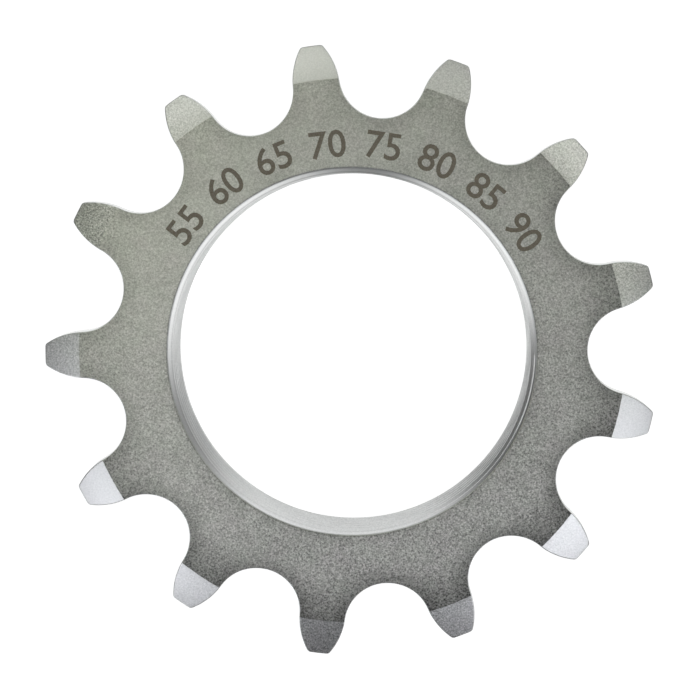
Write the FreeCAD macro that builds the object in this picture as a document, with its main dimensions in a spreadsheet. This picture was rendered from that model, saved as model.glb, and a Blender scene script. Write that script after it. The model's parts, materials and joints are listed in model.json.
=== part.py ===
"""Screw-on sprocket for a single-speed bicycle hub, one turned and milled piece of steel.

The toothed plate is level, with the boss below it, so the part lies on the boss.
The origin is the centre of the boss's seat face, and +Z leaves the marked front face.
A tooth gap is centred on +Y. Sizes are in millimetres and degrees.
"""
import FreeCAD, Part
import math
import os

import Sketcher

# Driving dimensions

DIMENSIONS = {
    # the chain that runs on the teeth
    "chain_pitch": 12.7,
    "roller_diameter": 7.75,
    "chain_plate_height": 8.6,
    "chain_clearance": 1.0,
    # the teeth, with turned bevels on both faces of their tips
    "teeth": 13,
    "seat_radius": 4.18,
    "seat_half_angle": 74.4,
    "flank_radius": 6.8,
    "addendum": 3.1,
    "tip_corner": 0.45,
    "bevel_length": 3.35,
    "bevel_depth": 0.55,
    # the plate that carries them
    "plate_thickness": 2.2,
    # the threaded bore, at the crests of its thread
    "bore_radius": 17.0,
    "front_sink_width": 0.85,
    "front_sink_depth": 0.7,
    "rear_sink": 0.55,
    # the boss that seats on the hub's shoulder
    "boss_height": 4.6,
    "boss_chamfer": 0.5,
    "boss_fillet": 0.6,
}
SHEET = "Sizes"
NODE = "cog"

# A sketch's own origin and axes, and the points of its arcs and lines

ORIGIN = (-1, 1)
LEVEL_AXIS = -1
UPRIGHT_AXIS = LEVEL_AXIS - 1
START, END, CENTRE = range(1, 4)

TOUCH = 1e-4  # points closer than this are the same


class Size:
    """A size held twice: as a number to draw with, and as a formula of the sheet to bind with."""

    def __init__(self, number, formula):
        self.number = number
        self.formula = formula

    def __add__(self, other):
        return Size(self.number + other.number, f"({self.formula} + {other.formula})")

    def __sub__(self, other):
        return Size(self.number - other.number, f"({self.formula} - {other.formula})")

    def __mul__(self, factor):
        return Size(self.number * factor, f"({self.formula} * {factor})")


SIZES = {name: Size(value, f"{SHEET}.{name}") for name, value in DIMENSIONS.items()}


def pitch_radius():
    """Radius of the circle that the centres of the chain's rollers lie on."""
    number = DIMENSIONS["chain_pitch"] / (2 * math.sin(math.pi / DIMENSIONS["teeth"]))
    return Size(number, f"({SHEET}.chain_pitch / (2 * sin(180 deg / {SHEET}.teeth)))")


def tip_radius():
    return pitch_radius() + SIZES["addendum"]


def make_sheet(doc):
    """The sheet of driving dimensions, one named cell each."""
    sheet = doc.addObject("Spreadsheet::Sheet", SHEET)
    for row, (name, value) in enumerate(DIMENSIONS.items(), start=1):
        sheet.set(f"A{row}", name)
        sheet.set(f"B{row}", str(value))
        sheet.setAlias(f"B{row}", name)
    doc.recompute()


def origin_feature(body, role):
    """A plane or an axis of the body's own origin."""
    return next(feature for feature in body.Origin.OriginFeatures if feature.Role == role)


def new_sketch(body, name, role):
    """An empty sketch on one of the body's origin planes."""
    sketch = body.newObject("Sketcher::SketchObject", name)
    sketch.AttachmentSupport = [(origin_feature(body, role), "")]
    sketch.MapMode = "FlatFace"
    return sketch


def hold(sketch, *constraint):
    """Add a constraint that has no size."""
    sketch.addConstraint(Sketcher.Constraint(*constraint))


def bind(sketch, size, *constraint):
    """Add a constraint that has a size, and bind the size to the sheet."""
    index = sketch.addConstraint(Sketcher.Constraint(*constraint, size.number))
    sketch.setExpression(f"Constraints[{index}]", size.formula)


def line(start, end):
    return Part.LineSegment(FreeCAD.Vector(*start, 0), FreeCAD.Vector(*end, 0))


def arc(centre, radius, start_angle, end_angle):
    """An arc that runs anticlockwise between two angles in degrees."""
    circle = Part.Circle(FreeCAD.Vector(*centre, 0), FreeCAD.Vector(0, 0, 1), radius)
    return Part.ArcOfCircle(circle, math.radians(start_angle), math.radians(end_angle))


def draw_section(sketch):
    """Half section of the turned blank: radius across and height up, round from the seat face."""
    bore = SIZES["bore_radius"]
    boss = pitch_radius() - SIZES["chain_plate_height"] * 0.5 - SIZES["chain_clearance"]
    chamfer = SIZES["boss_chamfer"]
    fillet = SIZES["boss_fillet"]
    rear = SIZES["boss_height"]
    front = rear + SIZES["plate_thickness"]
    tip = tip_radius()
    bevel_start = tip - SIZES["bevel_length"]
    bevel_depth = SIZES["bevel_depth"]
    seat_face = Size(0.0, "0")
    corners = (
        (bore + SIZES["rear_sink"], seat_face),
        (boss - chamfer, seat_face),
        (boss, chamfer),
        (boss, rear - fillet),
        (boss + fillet, rear),
        (bevel_start, rear),
        (tip, rear + bevel_depth),
        (tip, front - bevel_depth),
        (bevel_start, front),
        (bore + SIZES["front_sink_width"], front),
        (bore, front - SIZES["front_sink_depth"]),
        (bore, SIZES["rear_sink"]),
    )
    points = [(across.number, up.number) for across, up in corners]
    fillet_edge = 3
    first_points = []
    last_points = []
    for index, start in enumerate(points):
        end = points[(index + 1) % len(points)]
        if index == fillet_edge:
            edge = sketch.addGeometry(arc((end[0], start[1]), fillet.number, 90, 180))
            bind(sketch, fillet, "Radius", edge)
            first_points.append((edge, END))
            last_points.append((edge, START))
        else:
            edge = sketch.addGeometry(line(start, end))
            first_points.append((edge, START))
            last_points.append((edge, END))
    for index, (across, up) in enumerate(corners):
        first = first_points[index]
        hold(sketch, "Coincident", *last_points[index - 1], *first)
        bind(sketch, across, "DistanceX", *ORIGIN, *first)
        if up is seat_face:
            hold(sketch, "PointOnObject", *first, LEVEL_AXIS)
        else:
            bind(sketch, up, "DistanceY", *ORIGIN, *first)


def draw_gap(sketch):
    """One tooth gap on the upright axis: a roller seat, two convex flanks, and sides past the tips."""
    seat = SIZES["seat_radius"]
    flank = SIZES["flank_radius"]
    run_out = SIZES["roller_diameter"]
    seat_centre = pitch_radius() - SIZES["roller_diameter"] * 0.5 + seat
    half_angle = DIMENSIONS["seat_half_angle"]
    sweep = Size(math.radians(2 * half_angle), f"({SHEET}.seat_half_angle * 2 deg)")

    reach = seat.number + flank.number
    flank_across = reach * math.sin(math.radians(half_angle))
    flank_up = seat_centre.number - reach * math.cos(math.radians(half_angle))
    flank_top = flank_up + flank.number
    open_end = flank_top + run_out.number

    seat_arc, right_flank, right_side, outer_side, left_side, left_flank = sketch.addGeometry(
        [
            arc((0, seat_centre.number), seat.number, 270 - half_angle, 270 + half_angle),
            arc((flank_across, flank_up), flank.number, 90, 90 + half_angle),
            line((flank_across, flank_top), (flank_across, open_end)),
            line((flank_across, open_end), (-flank_across, open_end)),
            line((-flank_across, open_end), (-flank_across, flank_top)),
            arc((-flank_across, flank_up), flank.number, 90 - half_angle, 90),
        ]
    )

    hold(sketch, "PointOnObject", seat_arc, CENTRE, UPRIGHT_AXIS)
    bind(sketch, seat_centre, "DistanceY", *ORIGIN, seat_arc, CENTRE)
    bind(sketch, seat, "Radius", seat_arc)
    bind(sketch, sweep, "Angle", seat_arc)
    hold(sketch, "Horizontal", seat_arc, START, seat_arc, END)

    hold(sketch, "Tangent", seat_arc, END, right_flank, END)
    hold(sketch, "Tangent", seat_arc, START, left_flank, START)
    bind(sketch, flank, "Radius", right_flank)
    hold(sketch, "Equal", right_flank, left_flank)
    hold(sketch, "Vertical", right_flank, CENTRE, right_flank, START)
    hold(sketch, "Vertical", left_flank, CENTRE, left_flank, END)

    hold(sketch, "Coincident", right_flank, START, right_side, START)
    hold(sketch, "Coincident", right_side, END, outer_side, START)
    hold(sketch, "Coincident", outer_side, END, left_side, START)
    hold(sketch, "Coincident", left_side, END, left_flank, END)
    hold(sketch, "Vertical", right_side)
    hold(sketch, "Horizontal", outer_side)
    hold(sketch, "Vertical", left_side)
    bind(sketch, run_out, "DistanceY", right_side, START, right_side, END)


def tip_corner_edges(shape):
    """Names of the straight edges, parallel to the axis, where a flank meets the outer rim."""
    names = []
    for number, edge in enumerate(shape.Edges, start=1):
        low, high = (vertex.Point for vertex in (edge.firstVertex(), edge.lastVertex()))
        upright = math.hypot(high.x - low.x, high.y - low.y) < TOUCH
        on_rim = abs(math.hypot(low.x, low.y) - tip_radius().number) < TOUCH
        if upright and on_rim:
            names.append(f"Edge{number}")
    return names


def build_cog(doc):
    """Turn the blank, mill one gap and repeat it round the axis, then round the corners of the tips."""
    body = doc.addObject("PartDesign::Body", NODE)
    body.Label = NODE

    section = new_sketch(body, "turned_section", "XZ_Plane")
    draw_section(section)
    blank = body.newObject("PartDesign::Revolution", "turned_blank")
    blank.Profile = section
    blank.ReferenceAxis = (section, ["V_Axis"])
    blank.Angle = 360
    doc.recompute()

    outline = new_sketch(body, "gap_outline", "XY_Plane")
    draw_gap(outline)
    gap = body.newObject("PartDesign::Pocket", "tooth_gap")
    gap.Profile = outline
    gap.Type = "ThroughAll"
    gap.Reversed = True
    doc.recompute()

    gaps = body.newObject("PartDesign::PolarPattern", "tooth_gaps")
    gaps.Originals = [gap]
    gaps.Axis = (origin_feature(body, "Z_Axis"), [""])
    gaps.Angle = 360
    gaps.setExpression("Occurrences", f"{SHEET}.teeth")
    body.Tip = gaps
    doc.recompute()
    one_gap = blank.Shape.Volume - gap.Shape.Volume
    all_gaps = blank.Shape.Volume - gaps.Shape.Volume
    if one_gap <= 0 or all_gaps <= one_gap:
        raise RuntimeError("the tooth gaps cut nothing")

    rounding = body.newObject("PartDesign::Fillet", "tip_corners")
    rounding.Base = (gaps, tip_corner_edges(gaps.Shape))
    rounding.setExpression("Radius", f"{SHEET}.tip_corner")
    body.Tip = rounding
    doc.recompute()
    return body


def check(doc, body):
    """Stop if any step of the model failed or the piece isn't one valid solid."""
    failed = [item.Name for item in doc.Objects if {"Invalid", "Error"} & set(item.State)]
    if failed:
        raise RuntimeError(f"failed: {failed}")
    shape = body.Shape
    if shape.isNull() or not shape.isValid() or len(shape.Solids) != 1:
        raise RuntimeError(f"{body.Label} isn't one valid solid")


document = FreeCAD.newDocument("single_speed_cog")
make_sheet(document)
cog = build_cog(document)
check(document, cog)
os.makedirs("parts", exist_ok=True)
cog.Shape.exportStep(f"parts/{cog.Label}.step")
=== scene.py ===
import json
import math

import bmesh
import bpy
from mathutils import Matrix, Vector


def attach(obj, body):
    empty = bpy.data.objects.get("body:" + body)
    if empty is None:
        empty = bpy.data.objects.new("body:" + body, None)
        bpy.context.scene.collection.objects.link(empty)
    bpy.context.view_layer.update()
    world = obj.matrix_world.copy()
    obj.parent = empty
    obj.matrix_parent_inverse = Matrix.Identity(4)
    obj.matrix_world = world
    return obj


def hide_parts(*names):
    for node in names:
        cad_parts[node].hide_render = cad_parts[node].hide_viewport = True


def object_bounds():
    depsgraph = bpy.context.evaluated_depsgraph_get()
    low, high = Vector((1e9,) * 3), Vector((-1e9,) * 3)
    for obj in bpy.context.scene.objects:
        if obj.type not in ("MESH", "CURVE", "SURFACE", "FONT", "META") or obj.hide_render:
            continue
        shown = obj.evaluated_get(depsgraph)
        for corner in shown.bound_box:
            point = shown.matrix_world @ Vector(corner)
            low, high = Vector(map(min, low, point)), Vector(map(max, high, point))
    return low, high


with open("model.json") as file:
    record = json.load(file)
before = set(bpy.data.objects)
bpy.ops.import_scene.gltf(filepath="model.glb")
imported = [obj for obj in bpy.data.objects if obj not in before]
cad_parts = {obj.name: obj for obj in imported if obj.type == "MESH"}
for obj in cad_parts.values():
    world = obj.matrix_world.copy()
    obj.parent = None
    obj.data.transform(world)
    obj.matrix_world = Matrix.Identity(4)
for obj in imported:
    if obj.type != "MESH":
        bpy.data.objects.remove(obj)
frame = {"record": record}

cad_low, cad_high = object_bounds()
scene = bpy.context.scene

# Toothed plate and boss
# One piece of steel: the disc, its boss and the bevelled rim are turned, and then the tooth gaps are milled.
# One tooth with half a gap on each side is modelled here, with the small rounded edges that tumbling leaves.
# The tooth is on -Y, and the next section repeats it round the axis.

MM = 0.001

# the chain that runs on the teeth
CHAIN_PITCH = 12.7 * MM
ROLLER_DIAMETER = 7.75 * MM
CHAIN_PLATE_HEIGHT = 8.6 * MM
CHAIN_CLEARANCE = 1.0 * MM

# the teeth, with a bevel on each face of their tips
TEETH = 13
HALF_TOOTH = math.pi / TEETH
PITCH_RADIUS = CHAIN_PITCH / (2 * math.sin(HALF_TOOTH))
SEAT_RADIUS = 4.18 * MM
SEAT_ANGLE = math.radians(74.4)
SEAT_CENTRE = PITCH_RADIUS - ROLLER_DIAMETER / 2 + SEAT_RADIUS
FLANK_RADIUS = 6.8 * MM
TIP_RADIUS = -cad_low.y
TIP_CORNER = 0.45 * MM
BEVEL_LENGTH = 3.35 * MM
BEVEL_DEPTH = 0.55 * MM
BEVEL_START = TIP_RADIUS - BEVEL_LENGTH
BEVEL_SLOPE = BEVEL_DEPTH / BEVEL_LENGTH
BEVEL_CROWN = 0.03  # change of slope from the bevel's middle to its ends

# the plate that carries them, and the boss behind it
PLATE_THICKNESS = 2.2 * MM
FRONT = cad_high.z
PLATE_REAR = FRONT - PLATE_THICKNESS
BOSS_RADIUS = PITCH_RADIUS - CHAIN_PLATE_HEIGHT / 2 - CHAIN_CLEARANCE
BOSS_FILLET = 0.6 * MM
BOSS_CHAMFER = 0.5 * MM

# the countersunk rims of the bore
hub_thread = next(mount for mount in frame["record"]["mounts"] if mount["name"] == "hub_thread")
BORE_RADIUS = hub_thread["dims"]["r_mm"] * MM
FRONT_RIM = BORE_RADIUS + 0.76 * MM  # a little inside the full width of the countersink
FRONT_SINK_WIDTH = 0.85 * MM
FRONT_SINK_DEPTH = 0.7 * MM
FRONT_SINK_SLOPE = FRONT_SINK_WIDTH / FRONT_SINK_DEPTH
REAR_SINK = 0.55 * MM
REAR_RIM = BORE_RADIUS + REAR_SINK
RIM_BAND = 0.2 * MM  # width of the modelled band on each side of the bore's rims

# the small edges
EDGE = 0.08 * MM  # rounding of the tooth edges
SUPPORT = 0.05 * MM  # narrow band that keeps a face flat up to its rounded edge
RIM_EDGE = 0.1 * MM  # rounding of the bore's rims and of the boss

# how finely each stretch is divided
SEAT_STEPS = 14
BASE_STEP = 10  # the step of the seat where the tooth begins
LOW_FLANK_STEPS = 6
HIGH_FLANK_STEPS = 10
CORNER_STEPS = 4
ACROSS_STEPS = 6
EDGE_STEPS = 4
WALL_STEPS = 4
FILLET_STEPS = 6
COLUMNS = ACROSS_STEPS + BASE_STEP
BEVEL_STEP = SEAT_STEPS + LOW_FLANK_STEPS + 1
TIP_STEP = BEVEL_STEP + 1 + HIGH_FLANK_STEPS + CORNER_STEPS
WEB_SHARES = (0, 0.04, 0.15, 0.3, 0.45, 0.6, 0.74, 0.86, 0.95, 1)  # rows of the web, closer at both ends


def direction(angle):
    return Vector((math.cos(angle), math.sin(angle)))


def spread(start, end, steps):
    """Evenly spaced values from start to end, without the end."""
    return [start + (end - start) * i / steps for i in range(steps)]


def flank_angle_at(radius, flank_centre):
    """Where a flank, drawn in by the width of its rounded edge, crosses a circle round the axis."""
    drawn_in = FLANK_RADIUS - EDGE - SUPPORT
    distance = flank_centre.length
    cosine = (radius**2 - distance**2 - drawn_in**2) / (2 * drawn_in * distance)
    return math.atan2(flank_centre.y, flank_centre.x) + math.acos(cosine)


def half_outline():
    """Half a gap and half a tooth: points with the direction out of the steel, for a gap on +Y."""
    seat_centre = Vector((0, SEAT_CENTRE))
    reach = SEAT_RADIUS + FLANK_RADIUS
    flank_centre = seat_centre + reach * direction(SEAT_ANGLE - math.pi / 2)
    # the corner's circle touches the flank and the tip circle from inside
    inner, outer = FLANK_RADIUS - TIP_CORNER, TIP_RADIUS - TIP_CORNER
    distance = flank_centre.length
    swing = math.acos((outer**2 + distance**2 - inner**2) / (2 * outer * distance))
    corner_centre = outer * direction(math.atan2(flank_centre.y, flank_centre.x) + swing)
    to_corner = corner_centre - flank_centre

    flank_end = math.atan2(to_corner.y, to_corner.x)
    tip_start = math.atan2(corner_centre.y, corner_centre.x)
    tooth_middle = math.pi / 2 - HALF_TOOTH
    bevel_line = [flank_angle_at(BEVEL_START + shift, flank_centre) for shift in (-SUPPORT, 0, SUPPORT)]
    flank = spread(SEAT_ANGLE + math.pi / 2, bevel_line[0], LOW_FLANK_STEPS) + bevel_line[:2]
    flank += spread(bevel_line[2], flank_end, HIGH_FLANK_STEPS)

    outline = []
    for angle in spread(-math.pi / 2, SEAT_ANGLE - math.pi / 2, SEAT_STEPS):
        outline.append((seat_centre + SEAT_RADIUS * direction(angle), -direction(angle)))
    for angle in flank:
        outline.append((flank_centre + FLANK_RADIUS * direction(angle), direction(angle)))
    for angle in spread(flank_end, tip_start, CORNER_STEPS):
        outline.append((corner_centre + TIP_CORNER * direction(angle), direction(angle)))
    for angle in spread(tip_start, tooth_middle, ACROSS_STEPS) + [tooth_middle]:
        outline.append((TIP_RADIUS * direction(angle), direction(angle)))
    return outline


OUTLINE = half_outline()


def inset_loop(inset):
    """The outline drawn into the steel, as radius and angle from the tooth's middle."""
    loop = []
    for point, outward in OUTLINE:
        moved = point - inset * outward
        loop.append((moved.length, HALF_TOOTH - math.atan2(moved.x, moved.y)))
    return loop


def bevel_drop(radius):
    """How far a slightly crowned bevel lies below its face."""
    beyond = max(0, radius - BEVEL_START)
    return beyond * (BEVEL_SLOPE + BEVEL_CROWN * (beyond / BEVEL_LENGTH - 1))


def front_height(radius):
    return FRONT - bevel_drop(radius)


def rear_height(radius):
    return PLATE_REAR + bevel_drop(radius)


def round_corners(profile):
    """A turned profile of radius and height, with the corners between its ends rounded and supported."""
    points = [Vector(profile[0])]
    for before, corner, after in zip(profile, profile[1:], profile[2:]):
        corner = Vector(corner)
        back = (Vector(before) - corner).normalized()
        ahead = (Vector(after) - corner).normalized()
        points.append(corner + (RIM_EDGE + SUPPORT) * back)
        for share in (0, 1 / 3, 2 / 3, 1):
            points.append(corner + RIM_EDGE * ((1 - share) ** 2 * back + share**2 * ahead))
        points.append(corner + (RIM_EDGE + SUPPORT) * ahead)
    points.append(Vector(profile[-1]))
    return points


tooth = bmesh.new()
turned_layer = tooth.faces.layers.float.new("turned")
milled_layer = tooth.faces.layers.float.new("milled")


def add_sheet(rows, turned=0.0, milled=0.0):
    """Quads through rows of radius, angle from the tooth's middle and height, and their mirror image."""
    for side in (-1, 1):
        corners = []
        for row in rows:
            places = [(r * math.sin(side * a), -r * math.cos(side * a), z) for r, a, z in row]
            corners.append([tooth.verts.new(place) for place in places])
        for low, high in zip(corners, corners[1:]):
            for i in range(len(low) - 1):
                face = tooth.faces.new((low[i], low[i + 1], high[i + 1], high[i]))
                face[turned_layer] = turned
                face[milled_layer] = milled


def add_face(height, ring_radius):
    """A face of the plate: the tooth with its bevel, and the web from the tooth down to a ring."""
    inner = inset_loop(EDGE + SUPPORT)
    rim = inset_loop(EDGE)
    tooth_rows = []
    for radius, half_angle in inner[BASE_STEP:TIP_STEP + 1]:
        row = [(radius, half_angle * i / ACROSS_STEPS, height(radius)) for i in range(ACROSS_STEPS + 1)]
        tooth_rows.append(row)
    bevel_row = BEVEL_STEP - BASE_STEP
    add_sheet(tooth_rows[:bevel_row + 1])
    add_sheet(tooth_rows[bevel_row:], turned=1)
    # the narrow band along the rounded edge
    bands = [[(radius, angle, height(radius)) for radius, angle in loop] for loop in (inner, rim)]
    add_sheet([band[:BEVEL_STEP + 1] for band in bands])
    add_sheet([band[BEVEL_STEP:] for band in bands], turned=1)
    # the web
    outer = [point[:2] for point in tooth_rows[0]] + inner[:BASE_STEP][::-1]
    web = []
    for share in WEB_SHARES:
        row = []
        for i, (radius, angle) in enumerate(outer):
            ring_angle = HALF_TOOTH * i / COLUMNS
            at_radius = ring_radius + (radius - ring_radius) * share
            row.append((at_radius, ring_angle + (angle - ring_angle) * share, height(ring_radius)))
        web.append(row)
    add_sheet(web)


def add_turned(profile, milled=0.0):
    """A band that the lathe leaves round the axis, from its profile."""
    angles = [HALF_TOOTH * i / COLUMNS for i in range(COLUMNS + 1)]
    add_sheet([[(radius, angle, height) for angle in angles] for radius, height in profile], milled=milled)


def add_gap_wall():
    """The milled wall of the gap and the tip, with a rounded edge at the front and at the rear."""
    turns = [math.pi / 2 * i / EDGE_STEPS for i in range(EDGE_STEPS + 1)]
    for height, inward in ((front_height, -1), (rear_height, 1)):
        rows = []
        for turn in turns:
            loop = inset_loop(EDGE * (1 - math.cos(turn)))
            drop = inward * EDGE * (1 - math.sin(turn))
            rows.append([(radius, angle, height(radius) + drop) for radius, angle in loop])
        add_sheet(rows, milled=1)
    wall = []
    for i in range(WALL_STEPS + 1):
        share = i / WALL_STEPS
        row = []
        for radius, angle in inset_loop(0):
            top, bottom = front_height(radius) - EDGE, rear_height(radius) + EDGE
            row.append((radius, angle, bottom + (top - bottom) * share))
        wall.append(row)
    add_sheet(wall, milled=1)


# where the faces end and the bore's own wall begins
FRONT_RING = FRONT_RIM + RIM_BAND
REAR_RING = BOSS_RADIUS + BOSS_FILLET + SUPPORT
UPPER_END = FRONT - RIM_BAND
UPPER_RADIUS = FRONT_RIM - RIM_BAND * FRONT_SINK_SLOPE
LOWER_END = RIM_BAND
LOWER_RADIUS = REAR_RIM - RIM_BAND

fillet_centre = Vector((BOSS_RADIUS + BOSS_FILLET, PLATE_REAR - BOSS_FILLET))
fillet_turns = [math.pi / 2 * (1 + i / FILLET_STEPS) for i in range(FILLET_STEPS + 1)]
fillet = [fillet_centre + BOSS_FILLET * direction(turn) for turn in fillet_turns]
boss_corners = [
    (BOSS_RADIUS, fillet_centre.y),
    (BOSS_RADIUS, BOSS_CHAMFER),
    (BOSS_RADIUS - BOSS_CHAMFER, 0),
    (REAR_RIM, 0),
    (LOWER_RADIUS, LOWER_END),
]
front_rim = round_corners([(FRONT_RING, FRONT), (FRONT_RIM, FRONT), (UPPER_RADIUS, UPPER_END)])
rim_middle = (len(front_rim) - 1) // 2

add_face(front_height, FRONT_RING)
add_face(rear_height, REAR_RING)
add_gap_wall()
add_turned(front_rim[:rim_middle + 1])
add_turned(front_rim[rim_middle:], milled=1)
add_turned([Vector((REAR_RING, PLATE_REAR))] + fillet)
add_turned(round_corners(boss_corners))

MERGE = 0.002 * MM
bmesh.ops.remove_doubles(tooth, verts=tooth.verts, dist=MERGE)

# marks on the mesh for the painted shade: how near an edge is, and the line along the bore's front rim
EDGE_REACH = 1.7 * MM
RIM_REACH = 1.0 * MM
RIM_SHARE = 0.5  # how strongly the bore's rim counts beside the outline
FACE_SKIN = 0.03 * MM  # depth down to which the rim counts as face
edge_layer = tooth.verts.layers.float.new("near_edge")
rim_layer = tooth.verts.layers.float.new("rim_line")
outline_points = [point for point, outward in OUTLINE]


def distance_to_outline(radius, angle):
    """Distance of a place from the gap's outline, by its radius and its angle from the tooth's middle."""
    place = radius * direction(math.pi / 2 - HALF_TOOTH + abs(angle))
    nearest = EDGE_REACH
    for start, end in zip(outline_points, outline_points[1:]):
        along = end - start
        share = min(1, max(0, (place - start).dot(along) / along.length_squared))
        nearest = min(nearest, (place - start - share * along).length)
    return nearest


for vertex in tooth.verts:
    radius = vertex.co.xy.length
    from_outline = distance_to_outline(radius, math.atan2(vertex.co.x, -vertex.co.y))
    from_rim = max(0, radius - FRONT_RIM)
    vertex[edge_layer] = max(1 - from_outline / EDGE_REACH, RIM_SHARE * (1 - from_rim / RIM_REACH))
    if vertex.co.z > FRONT - FACE_SKIN:
        vertex[rim_layer] = max(0, 1 - from_rim / RIM_BAND)
tooth_mesh = bpy.data.meshes.new("tooth")
tooth.to_mesh(tooth_mesh)
tooth.free()

# Ring of teeth and threaded bore
# The rim is cut as a ring of like teeth, and the bore has a right-hand hub thread that fades near the rear.
# A node tree repeats the tooth round the axis, cuts the thread as a height field on the bore and joins both.

INCH = 25.4 * MM
THREAD_PITCH = INCH / 24
THREAD_DEPTH = 0.46 * MM
REAR_CREST = BORE_RADIUS - 0.05 * MM
FRONT_CREST = BORE_RADIUS + 0.22 * MM  # the crests open toward the front
RUN_OUT = (0.75 * MM, 1.15 * MM)  # heights between which the thread fades at the rear
THREAD_CREST_SHARE = 0.03
THREAD_ROOT_SHARE = 0.16
ROUND_STEPS = 2 * TEETH * COLUMNS
THREAD_STEPS = 120


def feed(tree, socket, value):
    """Set a socket, or link it where the value is another node's output."""
    if isinstance(value, bpy.types.NodeSocket):
        tree.links.new(value, socket)
    else:
        socket.default_value = value


def add_node(tree, kind, inputs=None, **settings):
    node = tree.nodes.new(kind)
    for name, value in settings.items():
        setattr(node, name, value)
    for name, value in (inputs or {}).items():
        feed(tree, node.inputs[name], value)
    return node


def calculate(tree, operation, *values):
    node = add_node(tree, "ShaderNodeMath", operation=operation)
    for socket, value in zip(node.inputs, values):
        feed(tree, socket, value)
    return node.outputs[0]


def ramp(tree, value, start, end, low=0, high=1, rise="LINEAR"):
    """Goes from low to high while a value goes from start to end, and stays level beyond."""
    return add_node(tree, "ShaderNodeMapRange", {
        "Value": value,
        "From Min": start,
        "From Max": end,
        "To Min": low,
        "To Max": high,
    }, interpolation_type=rise).outputs[0]


def ring_of_teeth(tree, given):
    """The tooth, repeated evenly round the axis."""
    points = add_node(tree, "GeometryNodePoints", {"Count": given["Teeth"]})
    index = tree.nodes.new("GeometryNodeInputIndex").outputs[0]
    turn = calculate(tree, "MULTIPLY", calculate(tree, "DIVIDE", index, given["Teeth"]), math.tau)
    euler = add_node(tree, "ShaderNodeCombineXYZ", {"Z": turn}).outputs[0]
    rotation = add_node(tree, "FunctionNodeEulerToRotation", {"Euler": euler}).outputs[0]
    return add_node(tree, "GeometryNodeInstanceOnPoints", {
        "Points": points.outputs[0],
        "Instance": given["Geometry"],
        "Rotation": rotation,
    }).outputs[0]


def thread_groove(tree, given, angle, height):
    """How far the thread lies behind its crests, at a place on the bore."""
    climb = calculate(tree, "DIVIDE", height, given["Thread Pitch"])
    turns = calculate(tree, "DIVIDE", angle, math.tau)
    phase = calculate(tree, "FRACT", calculate(tree, "SUBTRACT", climb, turns))
    wave = calculate(tree, "ABSOLUTE", calculate(tree, "MULTIPLY_ADD", phase, 2, -1))
    root_start = calculate(tree, "SUBTRACT", 1, given["Root Share"])
    groove = ramp(tree, wave, given["Crest Share"], root_start, 0, given["Thread Depth"])
    kept = ramp(tree, height, given["Run-Out Start"], given["Run-Out End"])
    return calculate(tree, "MULTIPLY", groove, kept)


def threaded_bore(tree, given):
    """The wall of the bore: a grid of one turn across and one height up, rolled round the axis."""
    grid = add_node(tree, "GeometryNodeMeshGrid", {
        "Size X": math.tau,
        "Size Y": 1.0,
        "Vertices X": calculate(tree, "ADD", given["Steps Round"], 1),
        "Vertices Y": calculate(tree, "ADD", given["Steps Along"], 1),
    })
    position = tree.nodes.new("GeometryNodeInputPosition").outputs[0]
    place = add_node(tree, "ShaderNodeSeparateXYZ", {"Vector": position})
    angle = place.outputs["X"]
    lower, upper = given["Lower End"], given["Upper End"]
    height = ramp(tree, place.outputs["Y"], -0.5, 0.5, lower, upper)

    groove = thread_groove(tree, given, angle, height)
    crest = ramp(tree, height, lower, upper, given["Rear Crest Radius"], given["Front Crest Radius"])
    thread = calculate(tree, "ADD", crest, groove)
    from_top = calculate(tree, "SUBTRACT", height, upper)
    front_sink = calculate(tree, "MULTIPLY_ADD", from_top, given["Upper Slope"], given["Upper Radius"])
    from_bottom = calculate(tree, "SUBTRACT", height, lower)
    rear_sink = calculate(tree, "SUBTRACT", given["Lower Radius"], from_bottom)
    sinks = calculate(tree, "MAXIMUM", front_sink, rear_sink)
    radius = calculate(tree, "MAXIMUM", thread, sinks)

    rolled = add_node(tree, "ShaderNodeCombineXYZ", {
        "X": calculate(tree, "MULTIPLY", radius, calculate(tree, "COSINE", angle)),
        "Y": calculate(tree, "MULTIPLY", radius, calculate(tree, "SINE", angle)),
        "Z": height,
    })
    bore = add_node(tree, "GeometryNodeSetPosition", {
        "Geometry": grid.outputs["Mesh"],
        "Position": rolled.outputs[0],
    })
    threaded = add_node(tree, "GeometryNodeStoreNamedAttribute", {
        "Geometry": bore.outputs[0],
        "Name": "threaded",
        "Value": 1.0,
    }, data_type="FLOAT", domain="FACE")
    in_thread = calculate(tree, "GREATER_THAN", thread, sinks)
    depth_share = calculate(tree, "DIVIDE", groove, given["Thread Depth"])
    return add_node(tree, "GeometryNodeStoreNamedAttribute", {
        "Geometry": threaded.outputs[0],
        "Name": "groove",
        "Value": calculate(tree, "MULTIPLY", in_thread, depth_share),
    }, data_type="FLOAT", domain="POINT").outputs[0]


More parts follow.
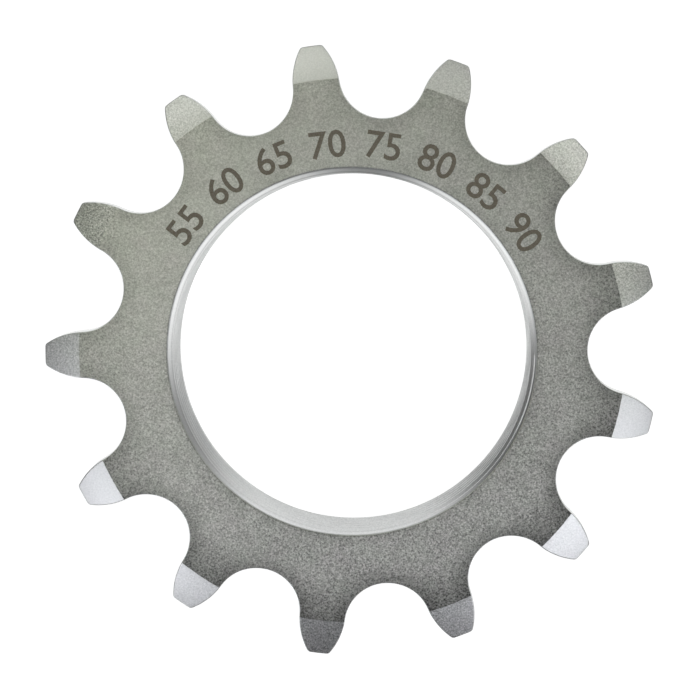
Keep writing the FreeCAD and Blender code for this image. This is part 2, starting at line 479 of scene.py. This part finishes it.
def cog_tree():
    """The ring of teeth, joined with the threaded bore."""
    tree = bpy.data.node_groups.new("cog_from_tooth", "GeometryNodeTree")
    tree.interface.new_socket("Geometry", in_out="INPUT", socket_type="NodeSocketGeometry")
    tree.interface.new_socket("Geometry", in_out="OUTPUT", socket_type="NodeSocketGeometry")
    for name in ("Teeth", "Steps Round", "Steps Along"):
        tree.interface.new_socket(name, in_out="INPUT", socket_type="NodeSocketInt")
    for name in (
        "Thread Pitch", "Thread Depth", "Crest Share", "Root Share", "Run-Out Start", "Run-Out End",
        "Rear Crest Radius", "Front Crest Radius",
        "Lower End", "Lower Radius", "Upper End", "Upper Radius", "Upper Slope",
        "Merge Distance",
    ):
        tree.interface.new_socket(name, in_out="INPUT", socket_type="NodeSocketFloat")
    tree.interface.new_socket("Material", in_out="INPUT", socket_type="NodeSocketMaterial")
    given = tree.nodes.new("NodeGroupInput").outputs

    joined = tree.nodes.new("GeometryNodeJoinGeometry")
    tree.links.new(ring_of_teeth(tree, given), joined.inputs[0])
    tree.links.new(threaded_bore(tree, given), joined.inputs[0])
    real = add_node(tree, "GeometryNodeRealizeInstances", {"Geometry": joined.outputs[0]})
    welded = add_node(tree, "GeometryNodeMergeByDistance", {
        "Geometry": real.outputs[0],
        "Distance": given["Merge Distance"],
    })
    smooth = add_node(tree, "GeometryNodeSetShadeSmooth", {"Geometry": welded.outputs[0]})
    dressed = add_node(tree, "GeometryNodeSetMaterial", {
        "Geometry": smooth.outputs[0],
        "Material": given["Material"],
    })
    tree.links.new(dressed.outputs[0], tree.nodes.new("NodeGroupOutput").inputs[0])
    return tree


def finished_mesh(name, mesh, tree, values):
    """What a node tree makes of a mesh, as a plain mesh with its faces turned outwards."""
    source = bpy.data.objects.new(name, mesh)
    scene.collection.objects.link(source)
    modifier = source.modifiers.new(tree.name, "NODES")
    modifier.node_group = tree
    for item in tree.interface.items_tree:
        if item.in_out == "INPUT" and item.name in values:
            modifier[item.identifier] = values[item.name]
    bpy.context.view_layer.update()
    evaluated = source.evaluated_get(bpy.context.evaluated_depsgraph_get())
    result = bpy.data.meshes.new_from_object(evaluated)
    bpy.data.objects.remove(source)
    shell = bmesh.new()
    shell.from_mesh(result)
    bmesh.ops.recalc_face_normals(shell, faces=shell.faces)
    shell.to_mesh(result)
    shell.free()
    return result


# Plated finish of the cog
# The steel is blasted to a fine grain, and a thin bright plating follows that grain on every side.
# Painted shade darkens the face toward the teeth and along its edges, most on the dark side, up to the
# bevels, which are turned clean afterwards.
# Stronger grain on the dark side, and darker, grainier bevels in three sectors, are painted glints and
# painted shade.
# The bore is cut bright, with painted shade in the roots of its thread and a fine painted shade line at the
# foot of its front countersink.

GRAIN_SCALE = 6700.0  # grains to the metre
CLOUD_SCALE = 300.0
TINT_SCALE = 420.0
DARK_GRAIN = (0.15, 0.15, 0.15, 1)
PLATING_TINTS = ((1.0, 0.935, 0.985, 1), (0.965, 1.0, 0.955, 1))
BEVEL_COLOUR = (0.75, 0.745, 0.735, 1)
CREST_COLOUR = (0.80, 0.815, 0.81, 1)
# painted shade in the roots of the thread
ROOT_SHADE_COLOUR = (0.68, 0.693, 0.69, 1)
BLACK = (0, 0, 0, 1)
STEEL_ROUGHNESS = 0.3
TOOTH_SHADE_FROM = 22.2 * MM  # radius where the painted shade toward the teeth begins, and it is full where the bevels start

# on the face, where a pair goes from the light side of the cog to its dark side, as painted shade and painted
# glints
FACE_CONTRAST = (0.69, 1.74)
PAINTED_TOOTH_SHADE = (0.01, 0.53)
EDGE_SHADE = (0.12, 0.37)
CLOUD_CONTRAST = 0.25
TOOTH_GRAIN_CONTRAST = 1.3  # times that of the rest of the face, toward the teeth where the painted shade lies
# painted shade along the whole front rim of the bore
RIM_SHADE = 0.55

# on the bevels, which are painted darker and grainier in three sectors, as painted shade and painted glints
BEVEL_CONTRAST = 1.45
SECTOR_CONTRAST = 0.5  # more in the middle of a sector, and less halfway between two
CALM_CONTRAST = 0.75  # how much less on the calm bevel
CALM_REACH = (math.cos(math.radians(20)), math.cos(math.radians(9)))
BEVEL_CLEANED = 0.42
SECTOR_BEVEL_SHADE = 0.32  # painted shade: less bright share in the middle of a sector, and more halfway between two
CUT_CLEANED = 0.8  # on the gap walls and in the bore

SINK_LINE = 17.37 * MM  # radius of the fine painted shade line
SINK_LINE_WIDTH = 0.08 * MM
SINK_LINE_SHADE = 0.4

# the picture's up is turned a little from the cog's +Y
PICTURE_TURN = math.radians(6.457)


def bearing(clockwise):
    """A level direction, by degrees clockwise from the picture's up."""
    turn = math.radians(90 - clockwise) + PICTURE_TURN
    return Vector((math.cos(turn), math.sin(turn), 0))


DARK_SIDE = bearing(160)
SHADED_BEVEL_SECTOR = bearing(55)  # middle of one of the three sectors of painted shade and painted glints on the bevels
CALM_BEVEL = bearing(48)  # a tooth in that sector whose bevel has weaker painted glints than its neighbours


def attribute(tree, name):
    return add_node(tree, "ShaderNodeAttribute", attribute_name=name).outputs["Fac"]


def noise(tree, place, scale, detail, roughness):
    return add_node(tree, "ShaderNodeTexNoise", {
        "Vector": place,
        "Scale": scale,
        "Detail": detail,
        "Roughness": roughness,
    }).outputs["Fac"]


def grain_group():
    """A node group for the fine grain that blasting leaves: a value about one half, with a given contrast."""
    group = bpy.data.node_groups.new("blasted_grain", "ShaderNodeTree")
    group.interface.new_socket("Place", in_out="INPUT", socket_type="NodeSocketVector")
    for name in ("Scale", "Roughness", "Contrast"):
        group.interface.new_socket(name, in_out="INPUT", socket_type="NodeSocketFloat")
    group.interface.new_socket("Grain", in_out="OUTPUT", socket_type="NodeSocketFloat")
    given = group.nodes.new("NodeGroupInput").outputs
    grain = noise(group, given["Place"], given["Scale"], 1.0, given["Roughness"])
    off_middle = calculate(group, "SUBTRACT", grain, 0.5)
    speckle = calculate(group, "MULTIPLY_ADD", off_middle, given["Contrast"], 0.5)
    group.links.new(speckle, group.nodes.new("NodeGroupOutput").inputs["Grain"])
    return group


BLASTED_GRAIN = grain_group()


def blasted_grain(tree, place, roughness, contrast):
    return add_node(tree, "ShaderNodeGroup", {
        "Place": place,
        "Scale": GRAIN_SCALE,
        "Roughness": roughness,
        "Contrast": contrast,
    }, node_tree=BLASTED_GRAIN).outputs["Grain"]


def between(tree, factor, first, second):
    """A value between two others."""
    return add_node(tree, "ShaderNodeMix", {"Factor": factor, "A": first, "B": second}).outputs[0]


def mix_colours(tree, factor, first, second):
    """A colour between two others, each given as a value or as another node's output."""
    node = add_node(tree, "ShaderNodeMix", {"Factor": factor}, data_type="RGBA")
    feed(tree, node.inputs[6], first)  # 6, 7 and 2 are the sockets for colours
    feed(tree, node.inputs[7], second)
    return node.outputs[2]


def level_part(tree, vector):
    return add_node(tree, "ShaderNodeVectorMath", {0: vector, 1: (1, 1, 0)}, operation="MULTIPLY").outputs[0]


def normalised(tree, vector):
    return add_node(tree, "ShaderNodeVectorMath", {0: vector}, operation="NORMALIZE").outputs[0]


def cosine_to(tree, way, other):
    """Cosine of the angle between two directions."""
    node = add_node(tree, "ShaderNodeVectorMath", {0: way, 1: other}, operation="DOT_PRODUCT")
    return node.outputs["Value"]


def three_sectors(tree, outward):
    """From -1 to 1 round the axis, highest in the middle of each of the three sectors of painted shade and
    glints.
    """
    cosine = cosine_to(tree, outward, SHADED_BEVEL_SECTOR)
    square = calculate(tree, "MULTIPLY", cosine, cosine)
    return calculate(tree, "MULTIPLY", cosine, calculate(tree, "MULTIPLY_ADD", square, 4, -3))


def grain_contrast(tree, outward, side, sectors, toward_teeth, turned):
    """How strongly the grain shows, partly as painted glints: by side and toward the teeth on the face, and
    by sector on the bevels.
    """
    on_face = calculate(tree, "MULTIPLY", between(tree, side, *FACE_CONTRAST),
                        between(tree, toward_teeth, 1, TOOTH_GRAIN_CONTRAST))
    calm = ramp(tree, cosine_to(tree, outward, CALM_BEVEL), *CALM_REACH, 0, CALM_CONTRAST)
    on_bevel = calculate(tree, "MULTIPLY_ADD", sectors, SECTOR_CONTRAST,
                         calculate(tree, "SUBTRACT", BEVEL_CONTRAST, calm))
    return between(tree, turned, on_face, on_bevel)


def blasted_colour(tree, place, contrast):
    """Dark and bright grains with slow clouds among them, under a plating that varies a little in tint."""
    grain = blasted_grain(tree, place, 0.6, contrast)
    cloud = noise(tree, place, CLOUD_SCALE, 3.0, 0.55)
    tint = noise(tree, place, TINT_SCALE, 2.0, 0.6)
    off_middle = calculate(tree, "SUBTRACT", cloud, 0.5)
    clouded = calculate(tree, "MULTIPLY_ADD", off_middle, CLOUD_CONTRAST, grain)
    return mix_colours(tree, clouded, DARK_GRAIN, mix_colours(tree, tint, *PLATING_TINTS))


def face_shade(tree, side, toward_teeth):
    """How much painted shade darkens the face: toward the teeth, near its edges and along the bore's rim."""
    on_teeth = calculate(tree, "MULTIPLY", toward_teeth, between(tree, side, *PAINTED_TOOTH_SHADE))
    at_edges = calculate(tree, "MULTIPLY", attribute(tree, "near_edge"), between(tree, side, *EDGE_SHADE))
    on_rim = calculate(tree, "MULTIPLY", attribute(tree, "rim_line"), RIM_SHADE)
    kept = calculate(tree, "SUBTRACT", 1, on_rim)
    for part in (on_teeth, at_edges):
        kept = calculate(tree, "MULTIPLY", kept, calculate(tree, "SUBTRACT", 1, part))
    return calculate(tree, "SUBTRACT", 1, kept)


def cut_colour(tree, place, from_axis, side, threaded):
    """Bright cut steel, with painted shade in the roots of the thread and the fine painted shade line on the
    light side.
    """
    plain = mix_colours(tree, attribute(tree, "groove"), CREST_COLOUR, ROOT_SHADE_COLOUR)
    off_line = calculate(tree, "ABSOLUTE", calculate(tree, "SUBTRACT", from_axis, SINK_LINE))
    on_line = ramp(tree, off_line, 0, SINK_LINE_WIDTH, SINK_LINE_SHADE, 0)
    height = add_node(tree, "ShaderNodeSeparateXYZ", {"Vector": place}).outputs["Z"]
    in_sink = calculate(tree, "GREATER_THAN", height, FRONT - FRONT_SINK_DEPTH)
    line = calculate(tree, "MULTIPLY", on_line, calculate(tree, "MULTIPLY", threaded, in_sink))
    # the painted shade line shows on the light side only
    line = calculate(tree, "MULTIPLY", line, calculate(tree, "SUBTRACT", 1, side))
    return mix_colours(tree, line, plain, BLACK)


def plated_steel():
    material = bpy.data.materials.new("plated_steel")
    material.use_nodes = True
    tree = material.node_tree
    place = tree.nodes.new("ShaderNodeTexCoord").outputs["Object"]
    level = level_part(tree, place)
    outward = normalised(tree, level)
    from_axis = add_node(tree, "ShaderNodeVectorMath", {0: level}, operation="LENGTH").outputs["Value"]
    # 0 on the light side of the cog and 1 on its dark side, for the painted shade and painted glints
    side = calculate(tree, "MULTIPLY_ADD", cosine_to(tree, outward, DARK_SIDE), 0.5, 0.5)
    sectors = three_sectors(tree, outward)
    # from 0 to 1 toward the teeth, for the painted shade there
    toward_teeth = ramp(tree, from_axis, TOOTH_SHADE_FROM, BEVEL_START)
    turned = attribute(tree, "turned")
    threaded = attribute(tree, "threaded")
    cut = calculate(tree, "MAXIMUM", attribute(tree, "milled"), threaded)

    blasted = blasted_colour(tree, place, grain_contrast(tree, outward, side, sectors, toward_teeth, turned))
    unturned = calculate(tree, "SUBTRACT", 1, turned)
    shade = calculate(tree, "MULTIPLY", face_shade(tree, side, toward_teeth), unturned)
    face = mix_colours(tree, shade, blasted, BLACK)
    bright = mix_colours(tree, cut, BEVEL_COLOUR, cut_colour(tree, place, from_axis, side, threaded))
    # the bevels' share of bright colour, less in the three sectors as painted shade; the cut walls and the
    # bore keep theirs
    bevel_share_with_sector_shade = calculate(tree, "MULTIPLY_ADD", sectors, -SECTOR_BEVEL_SHADE, BEVEL_CLEANED)
    clean_share_with_sector_shade = calculate(tree, "MAXIMUM", calculate(tree, "MULTIPLY", turned, bevel_share_with_sector_shade),
                        calculate(tree, "MULTIPLY", cut, CUT_CLEANED))

    shader = tree.nodes["Principled BSDF"]
    tree.links.new(mix_colours(tree, clean_share_with_sector_shade, face, bright), shader.inputs["Base Color"])
    shader.inputs["Metallic"].default_value = 1.0
    shader.inputs["Roughness"].default_value = STEEL_ROUGHNESS
    return material


cog_mesh = finished_mesh("toothed_ring", tooth_mesh, cog_tree(), {
    "Teeth": TEETH,
    "Steps Round": ROUND_STEPS,
    "Steps Along": THREAD_STEPS,
    "Thread Pitch": THREAD_PITCH,
    "Thread Depth": THREAD_DEPTH,
    "Crest Share": THREAD_CREST_SHARE,
    "Root Share": THREAD_ROOT_SHARE,
    "Run-Out Start": RUN_OUT[0],
    "Run-Out End": RUN_OUT[1],
    "Rear Crest Radius": REAR_CREST,
    "Front Crest Radius": FRONT_CREST,
    "Lower End": LOWER_END,
    "Lower Radius": LOWER_RADIUS,
    "Upper End": UPPER_END,
    "Upper Radius": UPPER_RADIUS,
    "Upper Slope": FRONT_SINK_SLOPE,
    "Merge Distance": MERGE,
    "Material": plated_steel(),
})
cog = bpy.data.objects.new("machined_cog", cog_mesh)
scene.collection.objects.link(cog)
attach(cog, "root")
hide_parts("cog")

# Etched numbers
# Plain numbers, as on a dial, in an arc on the front face above the bore.
# They are etched chemically, which leaves a thin matt brown film where the stencil is open.

NUMBERS = range(55, 95, 5)
NUMBER_SIZE = 3.7 * MM
NUMBER_FOOT = 18.85 * MM
NUMBER_MIDDLE = 20.1 * MM
NUMBER_ARC = (math.radians(-63.5), math.radians(53.5))  # clockwise from +Y
STROKE_GROWTH = 0.03 * MM
FILM = 0.015 * MM
FILM_MERGE = 0.0001 * MM
FILM_TONES = ((0.10, 0.086, 0.063, 1), (0.25, 0.218, 0.17, 1))
FILM_ROUGHNESS = 0.6


def number_mesh(number):
    """A number as a thin closed mesh on its own foot line."""
    curve = bpy.data.curves.new("number", "FONT")
    curve.body = str(number)
    curve.size = NUMBER_SIZE
    curve.offset = STROKE_GROWTH
    curve.extrude = FILM
    curve.resolution_u = 4
    source = bpy.data.objects.new("number", curve)
    scene.collection.objects.link(source)
    bpy.context.view_layer.update()
    mesh = bpy.data.meshes.new_from_object(source.evaluated_get(bpy.context.evaluated_depsgraph_get()))
    bpy.data.objects.remove(source)
    bpy.data.curves.remove(curve)
    return mesh


def etched_film():
    material = bpy.data.materials.new("etched_film")
    material.use_nodes = True
    tree = material.node_tree
    place = tree.nodes.new("ShaderNodeTexCoord").outputs["Object"]
    grain = blasted_grain(tree, place, 0.5, 1.0)
    shader = tree.nodes["Principled BSDF"]
    tree.links.new(mix_colours(tree, grain, *FILM_TONES), shader.inputs["Base Color"])
    shader.inputs["Roughness"].default_value = FILM_ROUGHNESS
    return material


number_meshes = [number_mesh(number) for number in NUMBERS]
spans = []
for mesh in number_meshes:
    across = [vertex.co.x for vertex in mesh.vertices]
    spans.append((min(across), max(across)))
arc_length = (NUMBER_ARC[1] - NUMBER_ARC[0]) * NUMBER_MIDDLE
number_gap = (arc_length - sum(right - left for left, right in spans)) / (len(spans) - 1)

etching = bmesh.new()
reached = 0
for mesh, (left, right) in zip(number_meshes, spans):
    clockwise = NUMBER_ARC[0] + (reached + (right - left) / 2) / NUMBER_MIDDLE
    centred = Matrix.Translation((-(left + right) / 2, NUMBER_FOOT, FRONT))
    mesh.transform(Matrix.Rotation(-clockwise, 4, "Z") @ centred)
    etching.from_mesh(mesh)
    reached += right - left + number_gap
bmesh.ops.remove_doubles(etching, verts=etching.verts, dist=FILM_MERGE)
bmesh.ops.recalc_face_normals(etching, faces=etching.faces)
numbers_mesh = bpy.data.meshes.new("etched_numbers")
etching.to_mesh(numbers_mesh)
etching.free()
numbers_mesh.materials.append(etched_film())
numbers = bpy.data.objects.new("etched_numbers", numbers_mesh)
scene.collection.objects.link(numbers)
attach(numbers, "root")

# Studio
# A large pale floor under the cog, with softboxes above it and soft panels round the walls of the room.
# They are placed by the picture, because each bevel takes its shade from the softbox that it mirrors.

FLOOR_SIDE = 4.0
FLOOR_COLOUR = (0.6, 0.6, 0.6, 1)
FLOOR_GLOW = 0.8
FLOOR_ROUGHNESS = 0.9

floor_mesh = bpy.data.meshes.new("studio_floor")
half = FLOOR_SIDE / 2
floor_mesh.from_pydata(
    [(-half, -half, 0), (half, -half, 0), (half, half, 0), (-half, half, 0)], [], [(0, 1, 2, 3)]
)
floor = bpy.data.objects.new("studio_floor", floor_mesh)
scene.collection.objects.link(floor)
floor_paint = bpy.data.materials.new("pale_floor")
floor_paint.use_nodes = True
floor_shader = floor_paint.node_tree.nodes["Principled BSDF"]
floor_shader.inputs["Base Color"].default_value = FLOOR_COLOUR
floor_shader.inputs["Emission Color"].default_value = (1, 1, 1, 1)
floor_shader.inputs["Emission Strength"].default_value = FLOOR_GLOW
floor_shader.inputs["Roughness"].default_value = FLOOR_ROUGHNESS
floor_mesh.materials.append(floor_paint)

# degrees clockwise from the picture's up, radiance, and degrees to each side where a panel is full and gone
WALL_PANELS = (
    (228, 1.25, 14, 36),
    (3, 0.9, 25, 57),
    (131, 1.22, 18, 52),
    (60, 0.19, 12, 45),
)
WALL_GLOW = 0.12
CEILING = (0.02, 0.02, 0.02, 1)
WALL_TOP = (math.cos(math.radians(65)), math.cos(math.radians(40)))  # the walls fade into the ceiling here

world = bpy.data.worlds.new("studio")
world.use_nodes = True
room = world.node_tree
toward = room.nodes.new("ShaderNodeTexCoord").outputs["Generated"]
wall_way = normalised(room, level_part(room, toward))
walls = WALL_GLOW
for clockwise, radiance, full, gone in WALL_PANELS:
    facing = cosine_to(room, wall_way, bearing(clockwise))
    reach = (math.cos(math.radians(gone)), math.cos(math.radians(full)))
    walls = calculate(room, "ADD", walls, ramp(room, facing, *reach, 0, radiance, "SMOOTHSTEP"))
upward = add_node(room, "ShaderNodeSeparateXYZ", {"Vector": toward}).outputs["Z"]
room_light = mix_colours(room, ramp(room, upward, *WALL_TOP, rise="SMOOTHSTEP"), walls, CEILING)
room.links.new(room_light, room.nodes["Background"].inputs["Color"])
scene.world = world
scene.view_settings.view_transform = "Standard"

FACE_CENTRE = Vector((0, 0, FRONT))
UP = Vector((0, 0, 1))
PICTURE_UP = bearing(0)
SOFTBOX_DISTANCE = 0.8
COOL = (0.97, 1.0, 1.065)
NEUTRAL = (0.99, 1.0, 0.99)
WARM = (0.965, 1.0, 0.915)
OLIVE = (0.92, 1.0, 0.63)

# name, degrees across and up in the picture from straight above, width, height, radiance and tint
SOFTBOXES = (
    ("right_softbox", 22.5, -11.5, 0.18, 0.18, 1.70, COOL),
    ("lower_right_softbox", 17, -22, 0.18, 0.18, 2.70, COOL),
    ("lower_left_softbox", -18, -24.5, 0.16, 0.16, 2.35, COOL),
    ("left_softbox", -24.5, -17.5, 0.16, 0.16, 2.00, COOL),
    ("left_fill", -24, -4, 0.14, 0.14, 0.80, COOL),
    ("upper_left_fill", -26, 5, 0.14, 0.14, 0.45, OLIVE),
    ("inner_left_softbox", -12, 1, 0.12, 0.16, 1.40, OLIVE),
    ("upper_left_softbox", -18.5, 18, 0.14, 0.14, 2.75, WARM),
    ("top_softbox", -6, 22.5, 0.14, 0.14, 2.15, WARM),
    ("top_fill", 7, 19, 0.12, 0.14, 1.40, WARM),
    ("upper_right_softbox", 20.5, 13.5, 0.14, 0.14, 3.10, WARM),
    ("right_fill", 19, 1, 0.12, 0.14, 0.70, OLIVE),
    ("overhead_softbox", -3, -6, 0.12, 0.12, 1.65, NEUTRAL),
    ("inner_top_softbox", 3, 5, 0.12, 0.12, 0.55, OLIVE),
    ("inner_right_softbox", 9, -8, 0.12, 0.12, 0.20, OLIVE),
)


def add_softbox(name, across, up, width, height, radiance, tint):
    """A softbox that faces the cog, with its upright side along the picture's up."""
    tilt = math.radians(math.hypot(across, up))
    level = bearing(math.degrees(math.atan2(across, up)))
    back = math.sin(tilt) * level + math.cos(tilt) * UP
    side = PICTURE_UP.cross(back).normalized()
    light = bpy.data.lights.new(name, "AREA")
    light.shape = "RECTANGLE"
    light.size, light.size_y = width, height
    light.energy = math.pi * width * height * radiance
    light.color = tint
    lamp = bpy.data.objects.new(name, light)
    facing = Matrix((side, back.cross(side), back)).transposed().to_4x4()
    lamp.matrix_world = Matrix.Translation(FACE_CENTRE + SOFTBOX_DISTANCE * back) @ facing
    scene.collection.objects.link(lamp)


for softbox in SOFTBOXES:
    add_softbox(*softbox)

# Camera
# It looks down on the face, a little from the upper right, through a long lens.

VIEW_DISTANCE = 280 * MM
VIEW_SHIFT = (0.165 * MM, -0.272 * MM)
LEAN_ACROSS = math.radians(-1.45)
LEAN_BACK = math.radians(5.70)
SENSOR_WIDTH = 36
FOCAL_LENGTH = 149.8
NEAREST = 10 * MM

camera_data = bpy.data.cameras.new("camera")
camera_data.sensor_width = SENSOR_WIDTH
camera_data.lens = FOCAL_LENGTH
camera_data.clip_start = NEAREST
camera = bpy.data.objects.new("camera", camera_data)
scene.collection.objects.link(camera)
to_camera = Matrix.Rotation(LEAN_ACROSS, 3, "Y") @ Matrix.Rotation(LEAN_BACK, 3, "X")
eye = to_camera.transposed() @ -Vector((*VIEW_SHIFT, -VIEW_DISTANCE))
to_cog = Matrix.Translation(FACE_CENTRE) @ Matrix.Rotation(PICTURE_TURN, 4, "Z")
camera.matrix_world = to_cog @ Matrix.Translation(eye) @ to_camera.transposed().to_4x4()
scene.camera = camera
